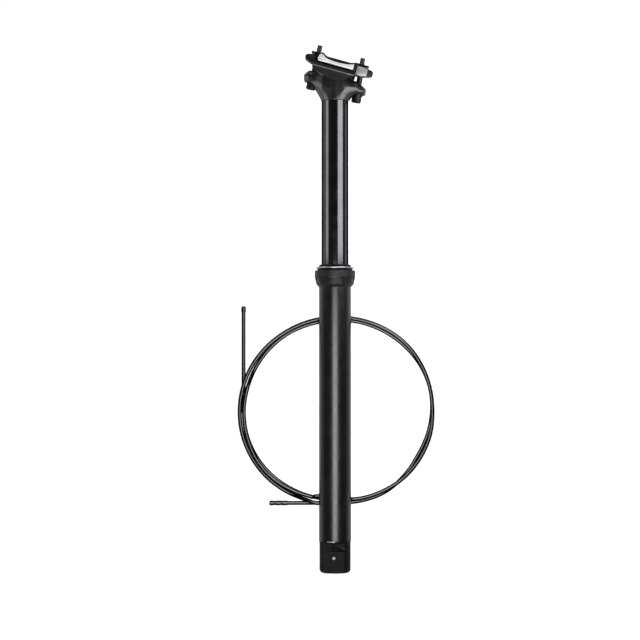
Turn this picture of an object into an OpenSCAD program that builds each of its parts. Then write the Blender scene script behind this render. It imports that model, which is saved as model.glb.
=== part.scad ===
// Dropper seatpost with its two lengths of cable housing, lying on a bench.
// +Y runs up the post, +X towards the front of the saddle, +Z away from the bench.
// The origin is on the post's axis at the lower edge of the collar.
// Most parts are written upright: x forward, y away from the viewer, z up the post.

/* [Post] */
// Outside diameter of the lower tube, which the frame clamps
tube_d = 31.6; // [30.9:0.1:31.6]
// Wall of the lower tube
tube_wall = 1.8; // [1.7:0.05:2]
// Space between the two tubes, which the bushings fill
bushing_wall = 0.75; // [0.7:0.05:0.9]
// Wall of the sliding upper tube
stanchion_wall = 1.75; // [1.6:0.05:1.9]
// How far the upper tube drops
travel = 160; // [120:5:160]
// Length of upper tube left inside the lower tube when the post is up
overlap = 87.5; // [85:0.5:100]
// Room under the upper tube when the post is down
bottom_gap = 1.5; // [1:0.1:3]

/* [Collar and seal] */
// Height of the collar that is screwed on the lower tube
collar_h = 16.2; // [15:0.1:18]
// How far the collar stands out from the lower tube
collar_step = 4.2; // [3.9:0.1:5]
// Number of spanner notches round the collar
notches = 5; // [4:1:6]
// Angle that each notch covers
notch_angle = 48; // [30:1:50]
// Height of the seal above the collar
seal_h = 5.9; // [5.5:0.1:7]

/* [Head and clamp] */
// Distance between the centres of the two saddle rails
rail_spacing = 44; // [43:0.5:44]
// Diameter of a saddle rail
rail_d = 7; // [6.8:0.1:7.2]
// Width of the whole clamp across the post
clamp_w = 48; // [46:1:50]
// Height of the rails' centre line above the top of the upper tube
rail_rise = 32.5; // [31:0.5:34]
// Forward lean of the clamp
clamp_lean = 15.5; // [10:0.5:18]
// Tilt of the clamp either way from there
clamp_tilt = 7; // [4:1:8]
// Radius of the trough that the cradle turns in
trough_r = 24.5; // [24.3:0.1:24.6]
// Gap left between the upper clamp and the cradle
clamp_gap = 1.8; // [1.4:0.1:2]

/* [Foot] */
// Length of the foot housing below the lower tube
foot_h = 30.4; // [29:0.1:32]
// How far the foot housing lies inside the lower tube's outline
foot_step = 0.5; // [0.4:0.05:0.8]
// Depth of the foot's spigot in the lower tube
spigot_h = 11.5; // [11:0.5:14]

/* [Cartridge] */
// Space between the upper tube and the gas and oil cartridge
cartridge_gap = 0.5; // [0.4:0.05:0.8]
// Wall of the cartridge
cartridge_wall = 1.4; // [1.2:0.05:1.6]
// Diameter of the cartridge's rod
rod_d = 8; // [7:0.5:8]

/* [Cable housing] */
// Diameter of the housing
housing_d = 4; // [4:0.1:4.1]
// Width of the coil between centre lines
coil_w = 191.4; // [190:0.2:192]
// Length of the coil along the post between centre lines
coil_l = 182.8; // [182:0.2:184]
// Distance of the coil's middle below the collar
coil_below = 121.8; // [121:0.1:122]
// Diameter of the ferrules
ferrule_d = 4.9; // [4.8:0.1:5]
// Where the first length's straight end starts below the collar
end_a_below = 18.4; // [16:0.1:20]
// Where the second length's straight end starts left of the post
end_b_left = 64.7; // [62:0.1:66]

/* [Hidden] */
$fn = 72;
round_fn = 32;
eps = 0.05;
slide_fit = 0.07;
press_fit = 0.02;

tube_bore_d = tube_d - 2 * tube_wall;
stanchion_d = tube_bore_d - 2 * bushing_wall;
stanchion_bore_d = stanchion_d - 2 * stanchion_wall;
collar_d = tube_d + 2 * collar_step;
foot_d = tube_d - 2 * foot_step;
cartridge_d = stanchion_bore_d - 2 * cartridge_gap;
cartridge_bore_d = cartridge_d - 2 * cartridge_wall;

tube_r = tube_d / 2;
tube_bore_r = tube_bore_d / 2;
stanchion_r = stanchion_d / 2;
stanchion_bore_r = stanchion_bore_d / 2;
collar_r = collar_d / 2;
seal_top = collar_h + seal_h;
stanchion_top = seal_top + travel + 1.9;
thread_top = 10.5;
thread_r = tube_r - 0.4;
pocket_r = tube_r + 0.75;
seal_groove_r = stanchion_r + 2.35;
stanchion_bottom = thread_top - overlap;
spigot_top = stanchion_bottom - travel - bottom_gap;
tube_bottom = spigot_top - spigot_h;
ring_h = 1.1;
foot_top = tube_bottom - ring_h;
foot_bottom = foot_top - foot_h;
foot_r = foot_d / 2;

bushing_len = 22.6;
bushing_low = stanchion_bottom + 2.2;
recess_r = stanchion_r - 0.5;
recess_top = bushing_low + bushing_len + 0.2;
circlip_h = 1;
circlip_z = bushing_low - circlip_h - 0.1;
key_r = 1.1;
keyway_r = 1.2;
key_at = tube_bore_r - 0.35;
key_low = -49;
key_len = 10;
keyway_low = key_low - travel - 5;
key_angles = [90, 210, 330];
upper_bushing_low = -15;
bushing_flange_h = 1;

cartridge_r = cartridge_d / 2;
cartridge_bore_r = cartridge_bore_d / 2;
rod_r = rod_d / 2;
cartridge_low = stanchion_bottom + 1.5;
head_spigot_h = 26.8;
head_spigot_low = stanchion_top - head_spigot_h;
cartridge_top = head_spigot_low - 2.2;
plug_low = cartridge_top - 6.5;
piston_low = cartridge_low + 9.5;
piston_h = 8;
piston_r = cartridge_bore_r - 0.1;
rod_bottom = spigot_top - 8;
bumper_h = 2.9;
bumper_r = cartridge_bore_r - 0.6;
valve_r = 1.5;
valve_bore_r = 1.6;
valve_top = piston_low + 4;
button_low = tube_bottom - 1;
separator_low = plug_low - 36.5;
separator_h = 8;

// Front flat, lever and cable stop of the foot.
flat_y = 4.2 - foot_r;
flat_turn = -7.2;
cable_x = foot_r - 4.5;
pivot_x = cable_x - 5.6;
pivot_z = tube_bottom - 4.1;
anchor_x = cable_x + 0.2;
anchor_z = tube_bottom - 7;
anchor_r = 2.2;
toe_x = 0.6;
toe_z = tube_bottom - 2.8;
toe_r = 1.5;
lever_bore_r = 1.3;
lever_pin_r = 1.25;
pin_half = -flat_y - 1.7;
stop_bore_r = 2.55;
stop_r = 3.1;
stop_low = foot_bottom + 1.3;
stop_h = 7.2;
screw_z = foot_bottom + 14.8;
screw_r = 1.6;

// Clamp frame: origin on the rails' centre line, leaned forward.
rail_z = stanchion_top + rail_rise;
clamp_half = clamp_w / 2;
rail_y = rail_spacing / 2;
rail_r = rail_d / 2;
turn_x = -0.5;
turn_z = 13;
turn_at = [turn_x * cos(clamp_lean) + turn_z * sin(clamp_lean),
           rail_z - turn_x * sin(clamp_lean) + turn_z * cos(clamp_lean)];
cheek_y = 17;
plate_y = cheek_y + 0.3;
half_gap = clamp_gap / 2;

// Each bolt: foot of its swing, lean, and the place of its nut in the clamp frame.
rear_foot = [-24, stanchion_top + 12.5];
rear_lean = 12.7;
rear_nut_at = [-19.4, 5.43];
front_foot = [20.8, stanchion_top - 0.6];
front_lean = 9.1;
front_nut_at = [25.47, 5.47];
rear_reach = 31.2;
front_reach = 32.05;
bolt_head_r = 4.8;
bolt_r = 2.9;
bolt_thread_r = 2.6;
shank_len = 24;
bolt_len = 43.4;
nut_bore_r = 2.7;
seat_r = 9;
face_h = 5.2;
spot_h = 7;
nut_r = 4.2;
nut_half = 7.2;
ear_trough_r = 4.5;
ear_half = 9;

// A wider tilt takes longer slots for the bolts, in the ears and in the head.
ear_slot = 1.4 + 0.2 * clamp_tilt;
head_slot = clamp_tilt / 7;

floor_z = -clamp_half;
housing_r = housing_d / 2;
ferrule_r = ferrule_d / 2;
socket_depth = 2.1;
coil_x = 1.3;
ring_step = 15;
lead_a_x = -90.7;
lead_b_y = -coil_below - coil_l / 2 - 0.3;

black = [0.07, 0.07, 0.075];
satin = [0.16, 0.16, 0.17];
silver = [0.8, 0.8, 0.82];
bright = [0.92, 0.92, 0.93];
rubber = [0.05, 0.05, 0.05];

// Lays an upright shape down with its top towards +Y.
module laid() rotate([-90, 0, 0]) children();

// Upright ring between two heights.
module ring(outer, inner, low, high) {
    translate([0, 0, low])
        difference() {
            cylinder(r = outer, h = high - low);
            translate([0, 0, -eps])
                cylinder(r = inner, h = high - low + 2 * eps);
        }
}

module rod(r, low, high) {
    translate([0, 0, low])
        cylinder(r = r, h = high - low);
}

// Cylinder across the post, centred on the viewing plane.
module cross_rod(x, z, r, half) {
    translate([x, half, z])
        rotate([90, 0, 0])
            cylinder(r = r, h = 2 * half);
}

module span_box(x, y, z) {
    translate([x[0], y[0], z[0]])
        cube([x[1] - x[0], y[1] - y[0], z[1] - z[0]]);
}

module in_clamp() translate([0, 0, rail_z]) rotate([0, clamp_lean, 0]) children();

// Frame of a bolt: z runs up its shank from the point that it swings about.
module on_bolt(foot, lean) translate([foot[0], 0, foot[1]]) rotate([0, lean, 0]) children();

// Post

module lower_tube() {
    color(black)
        laid()
            difference() {
                union() {
                    rod(tube_r, tube_bottom, 0);
                    rod(thread_r, -1, thread_top);
                }
                rod(tube_bore_r, tube_bottom - eps, thread_top + eps);
                for (a = key_angles)
                    rotate([0, 0, a])
                        translate([key_at, 0, 0])
                            rod(keyway_r, keyway_low, thread_top + eps);
            }
}

module collar() {
    pad_r = collar_r - 2;
    color(black)
        laid()
            difference() {
                rotate_extrude()
                    polygon([[thread_r + press_fit, 0], [tube_r + 0.2, 0], [tube_r + 1.5, 1.5],
                        [collar_r - 1.5, 2.7], [collar_r - 0.4, 7.9], [collar_r, 9.9],
                        [collar_r, collar_h - 0.4], [collar_r - 0.4, collar_h],
                        [pocket_r, collar_h], [pocket_r, thread_top],
                        [thread_r + press_fit, thread_top]]);
                for (k = [0:notches - 1])
                    rotate([0, 0, -90 - notch_angle / 2 + k * 360 / notches])
                        rotate_extrude(angle = notch_angle)
                            translate([pad_r, -1])
                                square([5, 9.7]);
            }
}

module upper_bushing() {
    inner = stanchion_r + slide_fit;
    color([0.2, 0.2, 0.2])
        laid()
            union() {
                ring(tube_bore_r - 0.03, inner, upper_bushing_low, thread_top);
                ring(thread_r - 0.1, inner, thread_top, thread_top + bushing_flange_h);
            }
}

// Seal with a lip at each end, and a groove round it for the spring ring.
module wiper_seal() {
    lip = stanchion_r + 0.1;
    low = thread_top + bushing_flange_h + 0.1;
    plug_r = pocket_r - 0.05;
    flange_r = collar_r - 2.7;
    color(rubber)
        laid()
            rotate_extrude()
                polygon([[lip, low], [plug_r, low], [plug_r, collar_h], [flange_r, collar_h],
                    [flange_r, collar_h + 1.9], [seal_groove_r, collar_h + 1.9],
                    [seal_groove_r, collar_h + 3.5], [seal_groove_r + 0.7, collar_h + 3.5],
                    [seal_groove_r + 0.3, collar_h + 4.6], [lip + 1.45, seal_top],
                    [lip, seal_top - 0.6], [lip + 0.7, seal_top - 2.2],
                    [lip + 0.7, low + 2.4], [lip, low + 1]]);
}

module wiper_ring() {
    low = collar_h + 1.95;
    inner = seal_groove_r + 0.05;
    outer = inner + 2.75;
    color(silver)
        laid()
            rotate_extrude()
                polygon([[inner, low], [outer - 0.4, low], [outer, low + 0.4], [outer, low + 1.1],
                    [outer - 0.4, low + 1.5], [inner, low + 1.5]]);
}

module stanchion() {
    color(black)
        laid()
            difference() {
                rod(stanchion_r, stanchion_bottom, stanchion_top);
                rod(stanchion_bore_r, stanchion_bottom - eps, stanchion_top + eps);
                difference() {
                    rod(stanchion_r + 1, bushing_low - 0.1, recess_top);
                    rod(recess_r, bushing_low - 1, recess_top + 1);
                }
                ring(stanchion_r + 1, stanchion_r - 0.95, circlip_z, circlip_z + circlip_h);
                for (a = key_angles)
                    rotate([0, 0, a])
                        translate([key_at, 0, 0])
                            rod(key_r + press_fit, key_low, key_low + key_len);
            }
}

// Two half shells round the recess at the bottom of the upper tube.
module lower_bushing() {
    split = 0.4;
    color([0.75, 0.72, 0.6])
        laid()
            difference() {
                ring(tube_bore_r - slide_fit, recess_r + 0.03, bushing_low, bushing_low + bushing_len);
                span_box([-20, 20], [-split / 2, split / 2], [bushing_low - 1, recess_top]);
            }
}

module bushing_circlip() {
    mouth = 3;
    color(silver)
        laid()
            difference() {
                ring(tube_bore_r - 0.3, stanchion_r - 0.9,
                    circlip_z + 0.05, circlip_z + circlip_h - 0.05);
                span_box([0, 20], [-mouth, mouth], [circlip_z - 1, circlip_z + 2]);
            }
}

module key_pins() {
    color([0.8, 0.7, 0.35])
        laid()
            for (a = key_angles)
                rotate([0, 0, a])
                    translate([key_at, 0, 0])
                        rod(key_r, key_low + 0.05, key_low + key_len - 0.05);
}

// Cartridge

module cartridge_tube() {
    color(silver)
        laid()
            ring(cartridge_r, cartridge_bore_r, cartridge_low, cartridge_top);
}

module seal_head() {
    head_h = 8;
    lip_r = bumper_r + 0.2;
    gland_r = rod_r + 1.6;
    color(satin)
        laid()
            difference() {
                union() {
                    rod(cartridge_bore_r - press_fit, cartridge_low - eps, cartridge_low + head_h);
                    rod(stanchion_bore_r - 0.05, stanchion_bottom, cartridge_low);
                }
                rod(rod_r + 0.1, stanchion_bottom - eps, cartridge_low + head_h + eps);
                rod(lip_r, stanchion_bottom - 1, cartridge_low - eps);
                rod(gland_r, cartridge_low + 2.5, cartridge_low + 5);
            }
}

module rod_seal() {
    color(rubber)
        laid()
            ring(rod_r + 1.58, rod_r + 0.05, cartridge_low + 2.55, cartridge_low + 4.95);
}

// Top plug with the charging valve.
module cartridge_plug() {
    nipple_r = 3.5;
    color(satin)
        laid()
            difference() {
                union() {
                    rod(cartridge_bore_r - press_fit, plug_low, cartridge_top + eps);
                    rod(cartridge_r - 0.1, cartridge_top, cartridge_top + 2);
                    rod(nipple_r, cartridge_top + 1, cartridge_top + 9);
                }
                rod(2, plug_low + 2, cartridge_top + 10);
            }
}

module cartridge_rod() {
    port_z = piston_low - 3.5;
    color(bright)
        laid()
            difference() {
                rod(rod_r, rod_bottom, piston_low + piston_h);
                rod(valve_bore_r, rod_bottom - eps, piston_low + piston_h + eps);
                cross_rod(0, port_z, 0.9, rod_r + 1);
            }
}

module rod_piston() {
    groove_z = piston_low + 2.8;
    color(satin)
        laid()
            difference() {
                ring(piston_r, rod_r + press_fit, piston_low, piston_low + piston_h);
                ring(piston_r + 1, piston_r - 1.2, groove_z, groove_z + 2.4);
            }
}

module piston_ring() {
    groove_z = piston_low + 2.8;
    color(rubber)
        laid()
            ring(piston_r + 0.05, piston_r - 1.15, groove_z + 0.05, groove_z + 2.35);
}

module floating_piston() {
    color(satin)
        laid()
            difference() {
                rod(piston_r, separator_low, separator_low + separator_h);
                rod(piston_r - 3.5, separator_low + 4, separator_low + separator_h + eps);
                ring(piston_r + 1, piston_r - 1.2, separator_low + 1.4, separator_low + 3.8);
            }
}

module separator_ring() {
    color(rubber)
        laid()
            ring(piston_r + 0.06, piston_r - 1.15, separator_low + 1.45, separator_low + 3.75);
}

module bottom_bumper() {
    color([0.7, 0.15, 0.1])
        laid()
            ring(bumper_r, rod_r + 0.1, spigot_top, spigot_top + bumper_h);
}

module valve_pin() {
    color(bright)
        laid()
            union() {
                rod(valve_r, button_low, valve_top);
                rod(3, button_low, button_low + 1.8);
            }
}

// Foot

// Inwards from the middle of the foot's flat, a depth below it.
module in_flat(depth)
    rotate([0, 0, flat_turn])
        translate([0, flat_y + depth, screw_z])
            rotate([-90, 0, 0])
                children();

module foot_housing() {
    edge = 4.3;
    window = [foot_top - 1.2, foot_top];
    slot_low = tube_bottom - 13;
    slot_half = 4.5;
    recess_y = [-foot_r, 0.1 - slot_half];
    color(black)
        laid()
            difference() {
                union() {
                    rod(tube_bore_r - press_fit, foot_top - 2, spigot_top);
                    rotate_extrude()
                        union() {
                            translate([0, foot_bottom + edge])
                                square([foot_r, foot_h - edge]);
                            translate([0, foot_bottom])
                                square([foot_r - edge, edge + 1]);
                            intersection() {
                                translate([foot_r - edge, foot_bottom + edge])
                                    circle(r = edge);
                                translate([foot_r - edge - 1, foot_bottom])
                                    square([edge + 1, edge + 1]);
                            }
                        }
                }
                rotate([0, 0, flat_turn])
                    span_box([-foot_r, foot_r], [-foot_r - 1, flat_y], [foot_bottom - 1, foot_top]);
                span_box([7 - foot_r, foot_r - 7], [-foot_r - 1, foot_r + 1], window);
                span_box([7.3 - foot_r, foot_r - 6], recess_y, [tube_bottom - 10.2, tube_bottom - 5.6]);
                span_box([-1.8, -0.4], recess_y, [tube_bottom - 6, window[0] + eps]);
                span_box([-3, foot_r - 1.1], [-slot_half, slot_half], [slot_low, window[0] + eps]);
                rod(valve_bore_r, foot_top - 3, spigot_top + 1);
                rod(rod_r + press_fit, rod_bottom, spigot_top + 1);
                rod(3.5, foot_top - 1.2, rod_bottom - 1.1);
                cross_rod(pivot_x, pivot_z, lever_pin_r + press_fit, pin_half + 0.1);
                translate([cable_x, 0, 0])
                    rod(1.3, foot_bottom - 1, slot_low + 1);
                translate([cable_x, 0, 0])
                    rod(stop_r + press_fit, foot_bottom - 1, stop_low + stop_h + 0.05);
                in_flat(-1)
                    cylinder(r = 3, h = 2);
                in_flat(0)
                    cylinder(r = screw_r + press_fit, h = 8);
            }
}

module retaining_ring() {
    color(silver)
        laid()
            ring(tube_r - 0.1, tube_bore_r + 0.05, foot_top, tube_bottom);
}

// Screw with a hexagon socket in its low end.
module socket_screw(r, length, socket) {
    difference() {
        cylinder(r = r, h = length);
        translate([0, 0, -eps])
            cylinder(r = socket / 2 / cos(30), h = socket, $fn = 6);
    }
}

module foot_set_screw() {
    color(bright)
        laid()
            in_flat(0.8)
                socket_screw(screw_r, 6.8, 1.5);
}

module lever_pin() {
    color(bright)
        laid()
            cross_rod(pivot_x, pivot_z, lever_pin_r, pin_half);
}

module cable_stop_bush() {
    color(silver)
        laid()
            translate([cable_x, 0, 0])
                ring(stop_r, stop_bore_r, stop_low, stop_low + stop_h);
}

// Lever with a toe under the valve's button and an arm to the cable anchor.
module actuator_lever() {
    arm_half = 3.9;
    color(satin)
        laid()
            difference() {
                union() {
                    hull() {
                        cross_rod(pivot_x, pivot_z, 2.4, arm_half, $fn = round_fn);
                        cross_rod(anchor_x, anchor_z, anchor_r + 0.9, arm_half, $fn = round_fn);
                    }
                    cross_rod(pivot_x, pivot_z, 2.6, arm_half);
                    hull() {
                        cross_rod(pivot_x - 0.4, pivot_z - 0.6, 1.6, 1.8, $fn = round_fn);
                        cross_rod(toe_x, toe_z, toe_r, 1.8, $fn = round_fn);
                    }
                }
                cross_rod(pivot_x, pivot_z, lever_bore_r, arm_half + 1);
                cross_rod(anchor_x, anchor_z, anchor_r + 0.05, arm_half + 1);
                span_box([anchor_x - 1.2, 20], [-1, 1], [anchor_z - 6, anchor_z]);
            }
}

module anchor_barrel() {
    half = 4.1;
    color(bright)
        laid()
            difference() {
                cross_rod(anchor_x, anchor_z, anchor_r, half);
                translate([anchor_x, -half - eps, anchor_z])
                    rotate([-90, 0, 0])
                        cylinder(r = 1.27, h = 3.6);
                translate([cable_x, 0, 0])
                    rod(0.75, anchor_z - 5, anchor_z + 5);
            }
}

module anchor_screw() {
    color(bright)
        laid()
            translate([anchor_x, -4.1, anchor_z])
                rotate([-90, 0, 0])
                    socket_screw(1.25, 3.3, 1.3);
}

// Head and clamp

// Slot for a bolt that swings a little in the plane of the post.
module bolt_slot(foot, lean) {
    slot_r = bolt_r + 0.7;
    on_bolt(foot, lean)
        for (end = [-0.5, 0.5])
            translate([end * head_slot, 0, 0])
                cylinder(r = slot_r, h = shank_len);
}

// Spot face and ball seat under a wing of the head.
module bolt_seat(foot, lean) {
    spot_r = 6.2;
    on_bolt(foot, lean)
        union() {
            rod(spot_r, -12, spot_h);
            intersection() {
                sphere(r = seat_r + 0.05);
                rod(spot_r - 0.2, 0, seat_r + 1);
            }
        }
}

// Block between two places along x and two heights, with its upright edges rounded.
module rounded_box(x, half_y, z, r) {
    hull()
        for (at = x, side = [-1, 1])
            translate([at - sign(at) * r, side * (half_y - r), z[0]])
                cylinder(r = r, h = z[1] - z[0], $fn = round_fn);
}

module head() {
    neck_r = stanchion_r + 0.05;
    waist_z = stanchion_top + 12;
    seat_z = stanchion_top + 33;
    color(satin)
        laid()
            difference() {
                union() {
                    rod(stanchion_bore_r - press_fit, head_spigot_low, stanchion_top + 1);
                    hull() {
                        translate([0, 0, stanchion_top])
                            cylinder(r = neck_r, h = 0.5, $fn = 64);
                        rounded_box([-15.5, 13.5], neck_r, [waist_z, seat_z], 8);
                    }
                    hull() {
                        rounded_box([-15.5, 13.5], neck_r, [waist_z + 1, seat_z], 8);
                        rounded_box([-17.5, 15], cheek_y, [waist_z + 8, seat_z], 5);
                    }
                    hull() {
                        cross_rod(-28.4, stanchion_top + 24.8, 2.4, 6, $fn = round_fn);
                        cross_rod(-25.2, stanchion_top + 27.6, 2.5, 7, $fn = round_fn);
                        on_bolt(rear_foot, rear_lean)
                            translate([0, 0, spot_h - 1.6])
                                cylinder(r = 8, h = 3, $fn = round_fn);
                        cross_rod(-15, stanchion_top + 8.3, 1.2, ear_half, $fn = round_fn);
                        span_box([-17.4, -8], [-ear_half, ear_half],
                            [stanchion_top + 8, stanchion_top + 31.4]);
                    }
                    hull() {
                        cross_rod(28.2, stanchion_top + 10.2, 2.5, 6, $fn = round_fn);
                        cross_rod(22.2, stanchion_top + 16.4, 2.4, 8, $fn = round_fn);
                        on_bolt(front_foot, front_lean)
                            translate([0, 0, spot_h - 0.6])
                                cylinder(r = 8.4, h = 5, $fn = round_fn);
                        cross_rod(14, stanchion_top + 7, 1.4, ear_half, $fn = round_fn);
                        span_box([8, 14.8], [-ear_half, ear_half],
                            [stanchion_top + 6, stanchion_top + 18.9]);
                    }
                }
                cross_rod(turn_at[0], turn_at[1], trough_r, 30, $fn = 180);
                rod(stanchion_bore_r - 2.5, head_spigot_low - eps, stanchion_top + 6);
                bolt_seat(rear_foot, rear_lean);
                bolt_seat(front_foot, front_lean);
                bolt_slot(rear_foot, rear_lean);
                bolt_slot(front_foot, front_lean);
            }
}

module rail_grooves() {
    for (side = [-1, 1])
        translate([-60, side * rail_y, 0])
            rotate([0, 90, 0])
                cylinder(r = rail_r, h = 120);
}

// Shape given by its outline in the clamp's side view, between two widths.
module side_plate(near, far, outline) {
    for (side = [0, 1])
        mirror([0, side, 0])
            translate([0, far, 0])
                rotate([90, 0, 0])
                    linear_extrude(height = far - near)
                        polygon(outline);
}

module cradle() {
    back = -17.5;
    front = 16.5;
    color(satin)
        laid()
            in_clamp()
                difference() {
                    union() {
                        side_plate(plate_y, clamp_half, [[-22.8, -half_gap], [-22.8, -2.8],
                            [-20.2, -8.2], [-16.9, -9], [-10.3, -10.8], [-3.3, -13.8],
                            [-0.2, -14], [5.5, -13], [11.1, -10.5], [16.3, -7.3],
                            [20.7, -4.6], [21.3, -2.8], [21.3, -half_gap]]);
                        intersection() {
                            cross_rod(turn_x, turn_z, trough_r - 0.1, plate_y + 1, $fn = 180);
                            span_box([back, front], [-plate_y - 1, plate_y + 1], [-14, -half_gap]);
                        }
                    }
                    rail_grooves();
                    span_box([-30, -11.6], [-7, 7], [-20, 5]);
                }
}

// Trough for a barrel nut, closed at its sides, and a slot that lets its bolt lean both ways.
module ear_cut(at, slot_from) {
    slot_r = bolt_r + 0.4;
    slot_low = -8;
    cross_rod(at[0], at[1], ear_trough_r, nut_half + 0.3);
    for (share = [0, 0.5, 1])
        translate([at[0] + slot_from + share * ear_slot, 0, 0])
            rod(slot_r, slot_low, at[1] - 1.5);
}

module upper_clamp() {
    wing_y = 15;
    color(silver)
        laid()
            in_clamp()
                difference() {
                    union() {
                        side_plate(wing_y, clamp_half, [[-17.5, half_gap], [-18.3, 3.2],
                            [-17.4, 6.6], [-15.4, 9.2], [-13.8, 9.3], [-12.2, 7.7],
                            [-8.4, 6], [-3, 5.2], [4.8, 5.1], [12.9, 6.2], [18.4, 7.7],
                            [20, 7.3], [20, half_gap]]);
                        span_box([-16.5, 18.5], [-wing_y - 1, wing_y + 1], [half_gap, 5]);
                        span_box([-11.4, 15], [-wing_y - 0.5, wing_y + 0.5], [4, 7.5]);
                        hull() {
                            span_box([-22, -17.9], [-ear_half, ear_half], [-2.4, 7.2]);
                            cross_rod(-28.1, 3, 3.1, 7, $fn = round_fn);
                        }
                        span_box([-19, -12], [-ear_half, ear_half], [half_gap, 7.2]);
                        hull() {
                            span_box([17.2, 27], [-ear_half, ear_half], [-1.8, 7.2]);
                            cross_rod(34.7, 3.4, 3.2, 7, $fn = round_fn);
                        }
                        span_box([12, 18], [-ear_half, ear_half], [half_gap, 7.2]);
                    }
                    rail_grooves();
                    ear_cut(rear_nut_at, -1);
                    ear_cut(front_nut_at, -0.5);
                }
}

module clamp_bolt(foot, lean) {
    socket = 5;
    color(black)
        laid()
            on_bolt(foot, lean)
                difference() {
                    union() {
                        rod(bolt_head_r, -1.6, face_h);
                        rod(bolt_r, 0, shank_len);
                        rod(bolt_thread_r, 0, bolt_len);
                    }
                    translate([0, 0, -1.7])
                        cylinder(r = socket / 2 / cos(30), h = 4, $fn = 6);
                }
}

// Dished washer: flat under the bolt's head, round against the seat.
module dished_washer(foot, lean) {
    color(silver)
        laid()
            on_bolt(foot, lean)
                difference() {
                    intersection() {
                        rod(5.7, face_h, seat_r + 1);
                        sphere(r = seat_r);
                    }
                    rod(bolt_r + 0.3, face_h - 1, seat_r + 2);
                }
}

// Barrel nut with the flat plate that covers its trough.
module barrel_nut(foot, lean, reach) {
    plate_h = 1.2;
    plate_low = 3.1;
    plate_reach = 6.9;
    color(satin)
        laid()
            on_bolt(foot, lean)
                translate([0, 0, reach])
                    difference() {
                        union() {
                            cross_rod(0, 0, nut_r, nut_half);
                            span_box([-3, 3], [-nut_half, nut_half], [0, plate_low + 0.5]);
                            rotate([0, clamp_lean - lean, 0])
                                span_box([-plate_reach, plate_reach], [-ear_half, ear_half],
                                    [plate_low, plate_low + plate_h]);
                        }
                        rod(nut_bore_r, -8, 8);
                    }
}

module rear_bolt() clamp_bolt(rear_foot, rear_lean);
module rear_washer() dished_washer(rear_foot, rear_lean);
module rear_nut() barrel_nut(rear_foot, rear_lean, rear_reach);
module front_bolt() clamp_bolt(front_foot, front_lean);
module front_washer() dished_washer(front_foot, front_lean);
module front_nut() barrel_nut(front_foot, front_lean, front_reach);

// Cable housing

// Round a coil a strand's place is its angle, how far it lies inside the widest line,
// and how far it is lifted off the bench by the strands under it.
lay_a = [[180, 3.7, 0], [225, 3, 0], [255, 2.9, 0], [270, 3.7, 2.3], [285, 1.4, 3.8],
    [300, 0.2, 4.5], [315, -0.9, 4.6], [330, -0.9, 3.8], [345, -0.7, 4.2], [360, 0.3, 4.5],
    [375, -0.1, 4.6], [405, -2, 4.1], [420, -1.9, 3.8], [450, -0.9, 3.75], [480, -0.1, 3.75],
    [510, 0.1, 3], [525, 0.1, 4.6], [540, -0.1, 3.4], [570, -1.3, 0.5], [585, -1.9, 0],
    [600, -1.8, 0], [615, -1.9, 4.4]];
lay_b = [[270, -0.3, 0], [285, -1.2, 0], [300, -1.7, 0], [330, 2.3, 0], [345, 1.8, 0],
    [375, -0.2, 0], [390, -0.2, 0], [420, 0.7, 0], [480, 2.5, 0], [510, 4.2, 0],
    [525, 4.7, 4.5], [540, 4.2, 4.75], [585, 1, 4.2], [615, 2.8, 4.7]];

function ease(t) = t * t * (3 - 2 * t);
function last(list) = list[len(list) - 1];
function lay_at(lay, angle, k = 0) =
    angle >= last(lay)[0] ? [last(lay)[1], last(lay)[2]] :
    angle > lay[k + 1][0] ? lay_at(lay, angle, k + 1) :
    let (t = ease((angle - lay[k][0]) / (lay[k + 1][0] - lay[k][0])))
    [lay[k][1] + (lay[k + 1][1] - lay[k][1]) * t, lay[k][2] + (lay[k + 1][2] - lay[k][2]) * t];
function coil_point(lay, angle) =
    let (place = lay_at(lay, angle))
    [coil_x + (coil_w / 2 - place[0]) * cos(angle),
     -coil_below + (coil_l / 2 - place[0]) * sin(angle),
     floor_z + housing_r + place[1]];
function coil_path(lay) =
    [for (angle = [lay[0][0]:ring_step:last(lay)[0]]) coil_point(lay, angle)];

low_z = floor_z + housing_r;
tip_z = floor_z + ferrule_r;
tip_a_len = 5.6;
tip_b_len = 18.1;
end_len = 5.5;
lead_a = [[lead_a_x, -end_a_below - tip_a_len + socket_depth, tip_z],
    [lead_a_x, -30, tip_z], [lead_a_x, -45, low_z], [lead_a_x, -58, low_z],
    [lead_a_x, -72, low_z], [lead_a_x, -88, low_z], [lead_a_x, -103, low_z],
    [lead_a_x, -coil_below + housing_d, low_z]];
lead_b = [[-end_b_left + tip_b_len - socket_depth, lead_b_y, tip_z],
    [-40, lead_b_y, tip_z], [-28, lead_b_y, low_z], [-15, lead_b_y, low_z],
    [coil_x - housing_d, lead_b_y, low_z]];
end_a = [[-19, lead_b_y + 0.1, floor_z + 6.95], [-13, lead_b_y + 0.1, floor_z + 6.95]];
end_b = [[-19, -206.6, floor_z + 7.4], [-13, -206.2, floor_z + 7.4]];
coil_a = concat([last(lead_a)], coil_path(lay_a), end_a);
coil_b = concat([last(lead_b)], coil_path(lay_b), end_b);

function unit(v) = v / norm(v);
function heading(path, k) =
    k == 0 ? unit(path[1] - path[0]) :
    k == len(path) - 1 ? unit(path[k] - path[k - 1]) :
    unit(unit(path[k + 1] - path[k]) + unit(path[k] - path[k - 1]));

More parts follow.
